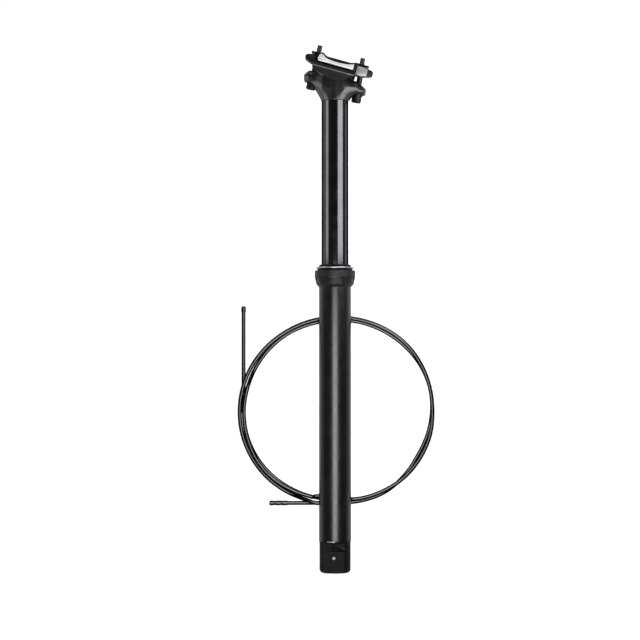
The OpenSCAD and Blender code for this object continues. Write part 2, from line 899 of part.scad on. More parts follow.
// One unbroken round tube along a path that stays near the level.
module strand(path, sides) {
    rings = len(path);
    points = [for (k = [0:rings - 1])
        let (along = heading(path, k))
        let (across = unit(cross(along, [0, 0, 1])))
        let (up = cross(across, along))
        for (s = [0:sides - 1])
            path[k] + housing_r * (cos(s * 360 / sides) * across + sin(s * 360 / sides) * up)];
    sleeve = [for (k = [0:rings - 2], s = [0:sides - 1])
        let (near = k * sides + s, next = k * sides + (s + 1) % sides)
        for (face = [[near, next, next + sides], [near, next + sides, near + sides]]) face];
    start = [for (s = [1:sides - 2]) [0, s + 1, s]];
    end = (rings - 1) * sides;
    stop = [for (s = [1:sides - 2]) [end, end + s, end + s + 1]];
    polyhedron(points = points, faces = concat(sleeve, start, stop), convexity = 10);
}

// Ferrule with a socket for the housing at its inner end, which is the origin.
module ferrule(at, yaw, length) {
    color(satin)
        translate(at)
            rotate([0, 0, yaw])
                rotate([0, 90, 0])
                    difference() {
                        union() {
                            cylinder(r = ferrule_r, h = length - 0.5);
                            cylinder(r = ferrule_r - 0.5, h = length);
                        }
                        translate([0, 0, -eps])
                            cylinder(r = housing_r + eps, h = socket_depth + eps);
                        cylinder(r = 0.9, h = length + 1);
                    }
}

function yaw_of(v) = atan2(v[1], v[0]);

module ferrule_a_tip() ferrule([lead_a_x, -end_a_below - tip_a_len, tip_z], 90, tip_a_len);
module housing_a_lead() color(rubber) strand(lead_a, 10);
module housing_a_coil() color(rubber) strand(coil_a, 6);
module ferrule_a_end() {
    v = last(coil_a) - end_a[0];
    ferrule(last(coil_a) - socket_depth * unit(v), yaw_of(v), end_len);
}
module ferrule_b_tip() ferrule([-end_b_left + tip_b_len, lead_b_y, tip_z], 180, tip_b_len);
module housing_b_lead() color(rubber) strand(lead_b, 10);
module housing_b_coil() color(rubber) strand(coil_b, 6);
module ferrule_b_end() {
    v = last(coil_b) - end_b[0];
    ferrule(last(coil_b) - socket_depth * unit(v), yaw_of(v), end_len);
}

// Length of a path, and its least gap to another path or to its own later turns.
function sum(list, k = 0) = k == len(list) ? 0 : list[k] + sum(list, k + 1);
function path_length(path) = sum([for (k = [1:len(path) - 1]) norm(path[k] - path[k - 1])]);
function to_segment(p, a, b) =
    let (t = max(0, min(1, (p - a) * (b - a) / ((b - a) * (b - a)))))
    norm(p - a - t * (b - a));
function fine(path, parts) =
    [for (k = [1:len(path) - 1], s = [0:parts - 1]) path[k - 1] + (path[k] - path[k - 1]) * s / parts];
function least_gap(one, other, skip) =
    let (parts = 8, points = fine(one, parts))
    min([for (n = [0:len(points) - 1], k = [1:len(other) - 1])
        if (skip == 0 || abs(floor(n / parts) + 1 - k) > skip)
            to_segment(points[n], other[k - 1], other[k])]) - housing_d;

whole_a = concat(lead_a, [for (k = [1:len(coil_a) - 1]) coil_a[k]]);
whole_b = concat(lead_b, [for (k = [1:len(coil_b) - 1]) coil_b[k]]);
turn_skip = 6;
union() {
    echo(length_a = path_length(whole_a), length_b = path_length(whole_b));
    echo(gap_a = least_gap(whole_a, whole_a, turn_skip), gap_b = least_gap(whole_b, whole_b, turn_skip));
    echo(gap_between = least_gap(whole_a, whole_b, 0));
}

lower_tube();
collar();
upper_bushing();
wiper_seal();
wiper_ring();
foot_housing();
retaining_ring();
foot_set_screw();
lever_pin();
cable_stop_bush();
actuator_lever();
anchor_barrel();
anchor_screw();
cartridge_rod();
rod_piston();
piston_ring();
bottom_bumper();
valve_pin();
stanchion();
lower_bushing();
bushing_circlip();
key_pins();
cartridge_tube();
seal_head();
rod_seal();
cartridge_plug();
floating_piston();
separator_ring();
head();
cradle();
upper_clamp();
rear_bolt();
rear_washer();
rear_nut();
front_bolt();
front_washer();
front_nut();
ferrule_a_tip();
housing_a_lead();
housing_a_coil();
ferrule_a_end();
ferrule_b_tip();
housing_b_lead();
housing_b_coil();
ferrule_b_end();
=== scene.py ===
"""A dropper seatpost with two coiled lengths of cable housing, lying on a pale bench and seen from above.

The frame's +Y runs up the post, +X points to the front of the saddle and +Z away from the bench.
Shapes are worked out upright in millimetres: x forward, y away from the camera, z up the post.
"""
import math
import bmesh
import bpy
import numpy as np
from mathutils import Matrix, Vector


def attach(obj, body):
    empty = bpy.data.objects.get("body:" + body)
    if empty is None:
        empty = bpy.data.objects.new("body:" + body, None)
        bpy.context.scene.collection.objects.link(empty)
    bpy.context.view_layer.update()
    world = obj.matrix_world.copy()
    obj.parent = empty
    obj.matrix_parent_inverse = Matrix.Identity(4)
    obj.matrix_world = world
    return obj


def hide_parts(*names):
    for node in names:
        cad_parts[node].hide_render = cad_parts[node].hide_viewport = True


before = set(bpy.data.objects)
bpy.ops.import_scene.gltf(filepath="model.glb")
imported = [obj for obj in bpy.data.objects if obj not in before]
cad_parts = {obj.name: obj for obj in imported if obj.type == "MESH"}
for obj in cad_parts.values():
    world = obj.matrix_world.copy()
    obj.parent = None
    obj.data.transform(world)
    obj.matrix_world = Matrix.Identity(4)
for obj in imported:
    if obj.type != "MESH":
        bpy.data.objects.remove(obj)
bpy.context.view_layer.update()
MM = 0.001
LAID = Matrix(((1, 0, 0, 0), (0, 0, 1, 0), (0, -1, 0, 0), (0, 0, 0, 1)))

# Camera: straight above the bench, tipped a little up the post.
PHOTO_PX = 640
MM_A_PIXEL = 0.986
CAMERA_AT = (-14.8, -101.6, 2900)
AIM_Y = -32.5


def add_camera():
    """Long lens whose width at its aim is the photograph's."""
    data = bpy.data.cameras.new("camera")
    tip = math.atan2(AIM_Y - CAMERA_AT[1], CAMERA_AT[2])
    distance = CAMERA_AT[2] / math.cos(tip)
    data.sensor_fit = "HORIZONTAL"
    data.angle = 2 * math.atan(PHOTO_PX * MM_A_PIXEL / 2 / distance)
    data.clip_end = 20
    camera = bpy.data.objects.new("camera", data)
    camera.location = Vector(CAMERA_AT) * MM
    camera.rotation_euler = (tip, 0, 0)
    bpy.context.scene.collection.objects.link(camera)
    bpy.context.scene.camera = camera


add_camera()

# Materials


def linear(code):
    """Linear colour of an sRGB hex code."""
    parts = [int(code[i:i + 2], 16) / 255 for i in (0, 2, 4)]
    return [c / 12.92 if c <= 0.04045 else ((c + 0.055) / 1.055) ** 2.4 for c in parts] + [1]


def add_node(tree, kind, links=None, **values):
    """Adds a node, sets its properties or inputs by name, and links inputs from other sockets."""
    node = tree.nodes.new(kind)
    for key, value in values.items():
        if hasattr(node, key):
            setattr(node, key, value)
        else:
            node.inputs[key.replace("_", " ")].default_value = value
    for key, socket in (links or {}).items():
        tree.links.new(socket, node.inputs[key])
    return node


def new_material(name, colour, **sockets):
    """Returns a material's tree, its shader and its object coordinates."""
    material = bpy.data.materials.new(name)
    material.use_nodes = True
    tree = material.node_tree
    tree.nodes.clear()
    out = tree.nodes.new("ShaderNodeOutputMaterial")
    shader = tree.nodes.new("ShaderNodeBsdfPrincipled")
    tree.links.new(shader.outputs[0], out.inputs[0])
    shader.inputs["Base Color"].default_value = linear(colour)
    for key, value in sockets.items():
        shader.inputs[key.replace("_", " ")].default_value = value
    place = tree.nodes.new("ShaderNodeTexCoord").outputs["Object"]
    return material, tree, shader, place


def noise(tree, place, size_mm, stretch=(1, 1, 1), detail=3.0):
    """Noise whose grains are about size_mm across; stretch makes them longer along an axis."""
    scale = [1 / (size_mm * MM * s) for s in stretch]
    mapped = add_node(tree, "ShaderNodeMapping", {"Vector": place}, Scale=scale)
    return add_node(tree, "ShaderNodeTexNoise", {"Vector": mapped.outputs[0]}, Scale=1.0, Detail=detail)


def spread(tree, socket, low, high):
    """Maps the middle of a noise, where nearly all of it lies, to a range."""
    return add_node(tree, "ShaderNodeMapRange", {"Value": socket}, From_Min=0.35, From_Max=0.65,
                    To_Min=low, To_Max=high).outputs[0]


def add_bump(tree, shader, height, depth_mm, strength, under=None):
    """Bump of a given depth, over another one where there is one."""
    bump = add_node(tree, "ShaderNodeBump", {"Height": height}, Strength=strength, Distance=depth_mm * MM)
    if under:
        tree.links.new(under.outputs[0], bump.inputs["Normal"])
    tree.links.new(bump.outputs[0], shader.inputs["Normal"])
    return bump


def tinted(tree, shader, amount, dark, light):
    """Blends the base colour between two tones by a 0 to 1 socket."""
    mix = add_node(tree, "ShaderNodeMix", data_type="RGBA")
    mix.inputs[6].default_value = linear(dark)
    mix.inputs[7].default_value = linear(light)
    tree.links.new(amount, mix.inputs[0])
    tree.links.new(mix.outputs[2], shader.inputs["Base Color"])


def drawn_finish(name, dark, light, rough, **sockets):
    """Drawn tube or extruded jacket: faint lines along it, dust-fine mottle and soft clouding of the gloss.
    The real lines and mottle are a few hundredths of a millimetre across, and are coarser here to show."""
    material, tree, shader, place = new_material(name, dark, Roughness=rough, **sockets)
    lines = noise(tree, place, 0.35, stretch=(1, 60, 1))
    cloud = noise(tree, place, 14)
    mottle = noise(tree, place, 0.25)
    tinted(tree, shader, spread(tree, cloud.outputs[0], 0, 1), dark, light)
    tree.links.new(spread(tree, cloud.outputs[0], rough - 0.03, rough + 0.03), shader.inputs["Roughness"])
    first = add_bump(tree, shader, lines.outputs[0], 0.004, 0.5)
    add_bump(tree, shader, mottle.outputs[0], 0.003, 0.5, first)
    return material


def forged_black():
    """Forged, bead-blasted and anodised head: a fine pebble grain that breaks its highlights up softly.
    Real blasting leaves dents of about 0.1 mm, and they are coarser here to show."""
    material, tree, shader, place = new_material("forged_black_anodised", "111112", Specular_IOR_Level=0.95)
    grain = noise(tree, place, 0.3, detail=4.0)
    cloud = noise(tree, place, 9)
    tinted(tree, shader, spread(tree, cloud.outputs[0], 0, 1), "0b0b0c", "121214")
    tree.links.new(spread(tree, grain.outputs[0], 0.28, 0.38), shader.inputs["Roughness"])
    add_bump(tree, shader, grain.outputs[0], 0.006, 0.6)
    return material


def turned_black(name, rough):
    """Turned and anodised ring: fine tool lines round the post's axis draw its highlights out round it.
    The real lines are about 0.1 mm apart, and are coarser here to show."""
    material, tree, shader, place = new_material(name, "131314", Specular_IOR_Level=0.4)
    lines = noise(tree, place, 0.3, stretch=(90, 1, 90))
    grain = noise(tree, place, 0.2)
    tree.links.new(spread(tree, lines.outputs[0], rough - 0.05, rough + 0.06), shader.inputs["Roughness"])
    first = add_bump(tree, shader, lines.outputs[0], 0.01, 0.5)
    add_bump(tree, shader, grain.outputs[0], 0.006, 0.4, first)
    return material


def metal(name, dark, light, rough, grain_mm=0.3, stretch=(1, 1, 1), depth=0.006, metallic=1.0):
    """Metal with machining marks, drawn coarse enough to show, and slight clouding."""
    material, tree, shader, place = new_material(name, light, Metallic=metallic)
    marks = noise(tree, place, grain_mm, stretch)
    cloud = noise(tree, place, 5)
    tinted(tree, shader, spread(tree, cloud.outputs[0], 0, 1), dark, light)
    tree.links.new(spread(tree, marks.outputs[0], rough - 0.06, rough + 0.08), shader.inputs["Roughness"])
    add_bump(tree, shader, marks.outputs[0], depth, 0.6)
    return material


def moulded(name, dark, light, rough, grain_mm, depth, sheen=0.0, level=0.5):
    """Rubber, plastic or blasted surface with a fine even grain."""
    material, tree, shader, place = new_material(name, light, Sheen_Weight=sheen, Specular_IOR_Level=level)
    grain = noise(tree, place, grain_mm)
    cloud = noise(tree, place, grain_mm * 30)
    tinted(tree, shader, spread(tree, cloud.outputs[0], 0, 1), dark, light)
    tree.links.new(spread(tree, grain.outputs[0], rough - 0.04, rough + 0.06), shader.inputs["Roughness"])
    add_bump(tree, shader, grain.outputs[0], depth, 0.5)
    return material


LOOK = {
    # Polished before anodising: a deep black mirror that shows each lamp as a crisp streak. Its near-black
    # edge tint paints the rims dark: a painted shade where they would mirror the pale bench.
    "stanchion": drawn_finish("polished_black_anodised_tube", "545457", "5a5a5d", 0.15,
                              Metallic=1.0, Specular_Tint=linear("080808")),
    # Etched before anodising: a satin black that spreads the lamp into one broad soft band.
    "lower_tube": drawn_finish("satin_black_anodised_tube", "0b0b0c", "101011", 0.3,
                               Specular_IOR_Level=0.6),
    "forged": forged_black(),
    "turned": turned_black("turned_black_anodised", 0.48),
    # Hard nylon moulded in an etched tool: a flat black that hardly answers the light.
    "foot": moulded("hard_black_nylon_foot", "0a0a0b", "101011", 0.55, 0.15, 0.003, level=0.14),
    # Painted reflection: near white where the wings' sloping faces mirror the lamps, with fine lines along
    # it. It is partly matt, so that it stays bright where it has nothing to mirror.
    "painted_glare": metal("painted_glare_white", "f0f0f2", "fcfcfd", 0.42, 0.3, (8, 1, 8), 0.002, 0.4),
    # An even matt grey: bead-blasted bare aluminium on the foot's clamp screw, and painted light on the front
    # ears' sides and on a stretch of the foot's ring.
    "blasted": metal("blasted_aluminium_and_painted_light", "9c9ca0", "b6b6ba", 0.5, 0.25, depth=0.003, metallic=0.5),
    # Bead-blasted before anodising: charcoal without a streak, a shade lighter than the tubes.
    "blasted_black": moulded("blasted_black_anodised", "161617", "1e1e20", 0.5, 0.2, 0.004, level=0.3),
    # Turned bare aluminium: satin grey with tool lines round the axis.
    "satin_alloy": metal("satin_turned_aluminium", "a9a9ac", "c4c4c8", 0.34, 0.3, (60, 1, 60)),
    # Centreless ground steel: bright, with a tight highlight.
    "steel": metal("ground_steel", "9b9b9e", "bdbdc0", 0.25, 0.2),
    # Wound spring steel: a bright line round the seal.
    "spring": metal("bright_spring_steel", "a8a8ac", "c8c8ca", 0.38, 0.2, (60, 1, 60), 0.002),
    # Black oxide over machined steel: dark, with a faint oily gloss.
    "black_oxide": metal("black_oxide_steel", "161617", "242426", 0.34, 0.25, depth=0.002, metallic=0.6),
    # A dry mid grey whose crests catch the light. On the clamp bolts' threads it is painted light, a lighter
    # copy of the bolts' black oxide; on the anchor screw and barrel it is phosphated steel.
    "phosphated_and_painted_light": metal("grey_steel_thread_and_painted_light", "4a4a4d", "606064", 0.45, 0.25, depth=0.002,
                        metallic=0.3),
    # Drawn brass: warm yellow with lines along the pin.
    "brass": metal("drawn_brass", "a98848", "c9a862", 0.3, 0.3, (1, 30, 1)),
    # Moulded nitrile rubber: dull, the blackest of all.
    "rubber": moulded("moulded_seal_rubber", "060606", "0b0b0b", 0.6, 0.2, 0.01, 0.02, 0.12),
    # Cast polyurethane bumper: a dull warm red.
    "red_rubber": moulded("red_bumper_rubber", "6a140f", "7d1b14", 0.6, 0.3, 0.01, 0.1),
    # Moulded acetal: dark and a little waxy.
    "bushing": moulded("black_bushing_plastic", "141414", "1e1e1e", 0.5, 0.15, 0.004),
    # Extruded jacket: glossy black with one thin line of light along each turn, and the same painted dark
    # rims from a near-black edge tint.
    "jacket": drawn_finish("glossy_housing_jacket", "3c3c3e", "424244", 0.12,
                           Metallic=1.0, Specular_Tint=linear("080808")),
    # Black nickel on turned brass: a smoky grey gloss.
    "ferrule": metal("black_nickel_ferrule", "3e3e41", "4e4e52", 0.24, 0.25, depth=0.002),
    # Painted highlight: a pale grey line along the cradle plate's top edge, where the edge catches the light.
    "edge_highlight": moulded("painted_edge_highlight", "77777a", "8a8a8d", 0.5, 0.2, 0.002),
}

# Cord routes: the same points as in the model's source, in millimetres of the row's frame.
FLOOR = -24.0
HOUSING_R = 2.0
FERRULE_R = 2.45
SOCKET = 2.1
LOW = FLOOR + HOUSING_R
TIP = FLOOR + FERRULE_R
COIL_X, COIL_Y = 1.3, -121.8
COIL_HALF = (95.7, 91.4)
RING_STEP = 15
LEAD_A_X = -90.7
LEAD_B_Y = -213.5
# Angle round the coil, distance inside its widest line, and lift off the bench.
LAY_A = [(180, 3.7, 0), (225, 3, 0), (255, 2.9, 0), (270, 3.7, 2.3), (285, 1.4, 3.8), (300, 0.2, 4.5),
         (315, -0.9, 4.6), (330, -0.9, 3.8), (345, -0.7, 4.2), (360, 0.3, 4.5), (375, -0.1, 4.6),
         (405, -2, 4.1), (420, -1.9, 3.8), (450, -0.9, 3.75), (480, -0.1, 3.75), (510, 0.1, 3),
         (525, 0.1, 4.6), (540, -0.1, 3.4), (570, -1.3, 0.5), (585, -1.9, 0), (600, -1.8, 0),
         (615, -1.9, 4.4)]
LAY_B = [(270, -0.3, 0), (285, -1.2, 0), (300, -1.7, 0), (330, 2.3, 0), (345, 1.8, 0), (375, -0.2, 0),
         (390, -0.2, 0), (420, 0.7, 0), (480, 2.5, 0), (510, 4.2, 0), (525, 4.7, 4.5), (540, 4.2, 4.75),
         (585, 1, 4.2), (615, 2.8, 4.7)]
LEAD_A = [(LEAD_A_X, -21.9, TIP), (LEAD_A_X, -30, TIP)] + [
    (LEAD_A_X, y, LOW) for y in (-45, -58, -72, -88, -103, -117.8)]
LEAD_B = [(-49.1, LEAD_B_Y, TIP), (-40, LEAD_B_Y, TIP)] + [(x, LEAD_B_Y, LOW) for x in (-28, -15, -2.7)]
END_A = [(-19, LEAD_B_Y + 0.1, FLOOR + 6.95), (-13, LEAD_B_Y + 0.1, FLOOR + 6.95)]
END_B = [(-19, -206.6, FLOOR + 7.4), (-13, -206.2, FLOOR + 7.4)]


def lay_at(lay, angle):
    """Inset and lift at an angle, eased between the listed places."""
    for low, high in zip(lay, lay[1:]):
        if angle <= high[0]:
            t = (angle - low[0]) / (high[0] - low[0])
            t = t * t * (3 - 2 * t)
            return [a + (b - a) * t for a, b in zip(low[1:], high[1:])]
    return lay[-1][1:]


def coil(lay):
    """Points of a lay's turns, one every RING_STEP degrees."""
    points = []
    for angle in range(lay[0][0], lay[-1][0] + 1, RING_STEP):
        inset, lift = lay_at(lay, angle)
        turn = math.radians(angle)
        points.append((COIL_X + (COIL_HALF[0] - inset) * math.cos(turn),
                       COIL_Y + (COIL_HALF[1] - inset) * math.sin(turn), LOW + lift))
    return points


def add_cord(name, route):
    """One smooth round curve through the route's points."""
    data = bpy.data.curves.new(name, "CURVE")
    data.dimensions = "3D"
    data.resolution_u = 5
    data.bevel_depth = HOUSING_R * MM
    data.bevel_resolution = 6
    data.use_fill_caps = True
    spline = data.splines.new("BEZIER")
    spline.bezier_points.add(len(route) - 1)
    places = [Vector(place) for place in route]
    for k, (point, place) in enumerate(zip(spline.bezier_points, places)):
        before, after = places[max(k - 1, 0)], places[min(k + 1, len(places) - 1)]
        along = (after - before).normalized()
        if place.z <= LOW:
            along.z = 0
        point.handle_left_type = point.handle_right_type = "FREE"
        point.co = place * MM
        point.handle_left = (place - along * (place - before).length / 3) * MM
        point.handle_right = (place + along * (after - place).length / 3) * MM
    cord = bpy.data.objects.new(name, data)
    bpy.context.scene.collection.objects.link(cord)
    data.materials.append(LOOK["jacket"])
    return cord


def add_lathe_profile(mesh, profile, steps):
    """Turns a closed outline of (radius, height) pairs round the local z axis."""
    rings = []
    for k in range(steps):
        turn = 2 * math.pi * k / steps
        rings.append([mesh.verts.new((r * math.cos(turn), r * math.sin(turn), h)) for r, h in profile])
    for k in range(steps):
        near, far = rings[k], rings[(k + 1) % steps]
        for i in range(len(profile)):
            j = (i + 1) % len(profile)
            mesh.faces.new((near[i], far[i], far[j], near[j]))


def rounded(outline, radius, steps=3):
    """Rounds every corner of a closed outline, by less where an edge is short."""
    corners = [Vector(p) for p in outline]
    out = []
    for k, corner in enumerate(corners):
        before, after = corners[k - 1] - corner, corners[(k + 1) % len(corners)] - corner
        reach = min(radius, 0.45 * before.length, 0.45 * after.length)
        near, far = corner + before.normalized() * reach, corner + after.normalized() * reach
        for s in range(steps + 1):
            t = s / steps
            out.append(tuple(near * (1 - t) ** 2 + corner * 2 * t * (1 - t) + far * t * t))
    return out


UPRIGHT = Matrix.Scale(MM, 4) @ LAID


def new_piece(name, mesh, place=UPRIGHT):
    """Makes an object from a bmesh in local millimetres."""
    bmesh.ops.remove_doubles(mesh, verts=mesh.verts, dist=0.001)
    bmesh.ops.recalc_face_normals(mesh, faces=mesh.faces)
    mesh.transform(place)
    data = bpy.data.meshes.new(name)
    mesh.to_mesh(data)
    mesh.free()
    piece = bpy.data.objects.new(name, data)
    bpy.context.scene.collection.objects.link(piece)
    return piece


def apply_modifiers(piece):
    """Makes what the modifiers give the piece's own mesh."""
    graph = bpy.context.evaluated_depsgraph_get()
    done = bpy.data.meshes.new_from_object(piece.evaluated_get(graph), depsgraph=graph)
    piece.modifiers.clear()
    piece.data = done


def cut_away(piece, cutters):
    """Cuts other pieces out of a piece and deletes them."""
    for cutter in cutters:
        modifier = piece.modifiers.new("cut", "BOOLEAN")
        modifier.operation = "DIFFERENCE"
        modifier.solver = "EXACT"
        modifier.object = cutter
    apply_modifiers(piece)
    for cutter in cutters:
        bpy.data.objects.remove(cutter)


def soften(piece, width_mm, angle=35):
    """Bevels the sharp edges a little."""
    bevel = piece.modifiers.new("bevel", "BEVEL")
    bevel.width = width_mm * MM
    bevel.segments = 2
    bevel.limit_method = "ANGLE"
    bevel.angle_limit = math.radians(angle)
    apply_modifiers(piece)


def drop_slivers(piece, reach_mm=0.004):
    """Merges points that lie on each other and takes out the faces without area, which cuts leave."""
    mesh = bmesh.new()
    mesh.from_mesh(piece.data)
    bmesh.ops.remove_doubles(mesh, verts=mesh.verts, dist=reach_mm * MM)
    bmesh.ops.dissolve_degenerate(mesh, edges=mesh.edges, dist=reach_mm * MM)
    mesh.to_mesh(piece.data)
    mesh.free()


def dress(piece, body, look, nodes=(), smooth_angle=40):
    """Shades a piece smooth, gives it its material and body, and hides the CAD nodes that it stands for."""
    piece.data.materials.clear()
    piece.data.materials.append(LOOK[look])
    if piece.type == "MESH":
        drop_slivers(piece)
        piece.data.shade_smooth()
        piece.data.set_sharp_from_angle(angle=math.radians(smooth_angle))
        piece.modifiers.new("even_normals", "WEIGHTED_NORMAL").keep_sharp = True
        apply_modifiers(piece)
    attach(piece, body)
    if nodes:
        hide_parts(*nodes)
    return piece


def turned(name, outline, radius, body, look, nodes, steps=144, place=UPRIGHT):
    """A turned piece: an outline with rounded corners, round an axis."""
    mesh = bmesh.new()
    add_lathe_profile(mesh, rounded(outline, radius) if radius else outline, steps)
    return dress(new_piece(name, mesh, place), body, look, nodes)


def crisp(name, node, width_mm, body, look, cutters=()):
    """A CAD node's own form, as cut on a machine, with its sharp edges broken by a small bevel."""
    mesh = bmesh.new()
    mesh.from_mesh(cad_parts[node].data)
    weld_mm, sliver_mm, flat_angle = 0.002, 0.01, math.radians(1)
    bmesh.ops.remove_doubles(mesh, verts=mesh.verts, dist=weld_mm * MM)
    bmesh.ops.dissolve_degenerate(mesh, edges=mesh.edges, dist=sliver_mm * MM)
    bmesh.ops.dissolve_limit(mesh, angle_limit=flat_angle, verts=mesh.verts, edges=mesh.edges)
    data = bpy.data.meshes.new(name)
    mesh.to_mesh(data)
    mesh.free()
    piece = bpy.data.objects.new(name, data)
    bpy.context.scene.collection.objects.link(piece)
    if cutters:
        cut_away(piece, cutters)
    soften(piece, width_mm)
    return dress(piece, body, look, [node])


def block(name, low, high, place):
    """Block between two corners of a local frame, for a cut."""
    mesh = bmesh.new()
    bmesh.ops.create_cube(mesh, size=1)
    for vert in mesh.verts:
        vert.co = [(a + b) / 2 + c * (b - a) for a, b, c in zip(low, high, vert.co)]
    return new_piece(name, mesh, place)


ON_CUT = 0.005


def cut_line(mesh, low, high, sides):
    """Cuts the faces beyond a distance from the viewing plane along a line of the side view."""
    (ax, az), (bx, bz) = low, high
    near = [f for f in mesh.faces if abs(f.calc_center_median().y) > sides
            and ax < f.calc_center_median().x < bx]
    edges = {e for f in near for e in f.edges}
    verts = {v for f in near for v in f.verts}
    bmesh.ops.bisect_plane(mesh, geom=near + list(edges) + list(verts), dist=ON_CUT,
                           plane_co=(ax, 0, az), plane_no=(az - bz, 0, bx - ax))


def second_material(piece, place, look, sides, ends, line, picked):
    """Gives a second material, which here always paints light, to the faces of a piece that are picked in a
    local frame, after cutting them across at the ends and the points of a line, and along that line."""
    mesh = bmesh.new()
    mesh.from_mesh(piece.data)
    mesh.transform(place.inverted())
    for x in ends + tuple(point[0] for point in line):
        bmesh.ops.bisect_plane(mesh, geom=mesh.verts[:] + mesh.edges[:] + mesh.faces[:], dist=ON_CUT,
                               plane_co=(x, 0, 0), plane_no=(1, 0, 0))
    for low, high in zip(line, line[1:]):
        cut_line(mesh, low, high, sides)
    piece.data.materials.append(LOOK[look])
    for face in mesh.faces:
        if picked(face.calc_center_median()):
            face.material_index = len(piece.data.materials) - 1
    mesh.transform(place)
    mesh.to_mesh(piece.data)
    mesh.free()


def height_at(line, x):
    """Height of a line of the side view at x."""
    for (ax, az), (bx, bz) in zip(line, line[1:]):
        if x <= bx:
            return az + (bz - az) * (x - ax) / (bx - ax)
    return line[-1][1]


def smooth_step(t):
    t = np.clip(t, 0, 1)
    return t * t * (3 - 2 * t)


def smooth_min(a, b, reach):
    """The nearer of two distances, with a fillet where they are alike."""
    share = np.clip(0.5 + 0.5 * (b - a) / reach, 0, 1)
    return b + (a - b) * share - reach * share * (1 - share)


def outline_distance(x, z, points):
    """Distance from a closed outline of a flat shape, less than zero inside."""
    best = np.full(x.shape, np.inf)
    inside = np.zeros(x.shape, bool)
    for (ax, az), (bx, bz) in zip(points, points[1:] + points[:1]):
        along = (x - ax) * (bx - ax) + (z - az) * (bz - az)
        t = np.clip(along / ((bx - ax) ** 2 + (bz - az) ** 2), 0, 1)
        best = np.minimum(best, np.hypot(x - ax - t * (bx - ax), z - az - t * (bz - az)))
        crosses = (az > z) != (bz > z)
        inside ^= crosses & (x < ax + (z - az) / (bz - az + 1e-12) * (bx - ax))
    return np.where(inside, -best, best)


def edge_rounded(flat, across, r):
    """Distance from a thick plate with edges rounded by r, from the distances of its outline and sides."""
    a, b = flat + r, across + r
    return np.minimum(np.maximum(a, b), 0) + np.hypot(np.maximum(a, 0), np.maximum(b, 0)) - r


def field_piece(name, field, low, high, cell):
    """Piece whose surface is where a distance field is zero: one point in each cell of a grid that it
    crosses, moved on to the surface, and a quad round each grid edge that it cuts."""
    axes = [np.arange(a, b, cell) for a, b in zip(low, high)]
    grid = np.stack(np.meshgrid(*axes, indexing="ij"), -1)
    value = field(grid)
    total = np.zeros([n - 1 for n in value.shape] + [3])
    count = np.zeros([n - 1 for n in value.shape])
    whole = slice(None)
    for axis in range(3):
        near = [whole] * 3
        near[axis] = slice(None, -1)
        far = [whole] * 3
        far[axis] = slice(1, None)
        a, b = value[tuple(near)], value[tuple(far)]
        cut = (a < 0) != (b < 0)
        t = np.where(cut, a / np.where(cut, a - b, 1), 0)
        at = grid[tuple(near)].copy()
        at[..., axis] += t * cell
        one, two = [k for k in range(3) if k != axis]
        for i in (0, 1):
            for j in (0, 1):
                part = [whole] * 3
                part[one] = slice(i, i + count.shape[one])
                part[two] = slice(j, j + count.shape[two])
                part = tuple(part)
                total += np.where(cut[part][..., None], at[part], 0)
                count += cut[part]
    used = count > 0
    number = np.full(count.shape, -1)
    number[used] = np.arange(used.sum())
    points = total[used] / count[used][:, None]
    passes, probe, least_slope = 4, 0.05, 0.3
    for _ in range(passes):
        d = field(points)
        slope = np.stack([(field(points + step) - field(points - step)) / (2 * probe)
                          for step in np.eye(3) * probe], -1)
        points -= (d / np.maximum((slope ** 2).sum(-1), least_slope))[:, None] * slope
    quads = []
    for axis in range(3):
        one, two = [k for k in range(3) if k != axis]
        near, far = [slice(1, -1)] * 3, [slice(1, -1)] * 3
        near[axis], far[axis] = slice(None, -1), slice(1, None)
        cut = (value[tuple(near)] < 0) != (value[tuple(far)] < 0)
        corners_of = []
        for i, j in ((0, 0), (1, 0), (1, 1), (0, 1)):
            part = [whole] * 3
            part[one] = slice(i, i + cut.shape[one])
            part[two] = slice(j, j + cut.shape[two])
            corners_of.append(number[tuple(part)][cut])
        quads.append(np.stack(corners_of, -1))
    data = bpy.data.meshes.new(name)
    data.from_pydata(points.tolist(), [], np.concatenate(quads).tolist())
    mesh = bmesh.new()
    mesh.from_mesh(data)
    bpy.data.meshes.remove(data)
    return new_piece(name, mesh)


def prism(across, low, high):
    """Cutter for a hexagon socket."""
    sides = 6
    mesh = bmesh.new()
    radius = across / 2 / math.cos(math.pi / sides)
    add_lathe_profile(mesh, [(0, low), (radius, low), (radius, high), (0, high)], sides)
    return mesh


# Free cords: two lengths of housing, each with a ferrule at both ends.


def add_ferrule(name, node, place, outline):
    """Ferrule turned round the housing's line at a place."""
    local = Matrix.Scale(MM, 4) @ place @ Matrix.Rotation(math.radians(90), 4, "Y")
    return turned(name, outline, 0.25, "lower_post", "ferrule", [node], 48, local)


def ferrule_place(route, reach):
    """Place of a ferrule whose socket holds the last point of a route."""
    along = (Vector(route[-1]) - Vector(route[-2])).normalized()
    yaw = math.atan2(along.y, along.x)
    return Matrix.Translation(Vector(route[-1]) - along * reach) @ Matrix.Rotation(yaw, 4, "Z")


def ferrule_outline(length, belt):
    """Cap with a socket at its inner end, belts rolled round it and a small cable hole."""
    hole, socket, rim = 0.9, HOUSING_R + 0.05, 0.5
    belt_r, belt_wide, belt_narrow = FERRULE_R - 0.35, 0.5, 0.2
    outer = [(FERRULE_R, 0)]
    for at in belt:
        outer += [(FERRULE_R, at - belt_wide), (belt_r, at - belt_narrow), (belt_r, at + belt_narrow),
                  (FERRULE_R, at + belt_wide)]
    outer += [(FERRULE_R, length - rim), (FERRULE_R - rim, length)]
    return outer + [(hole, length), (hole, SOCKET), (socket, SOCKET), (socket, 0)]


ROUTES = {"a": LEAD_A + coil(LAY_A) + END_A, "b": LEAD_B + coil(LAY_B) + END_B}
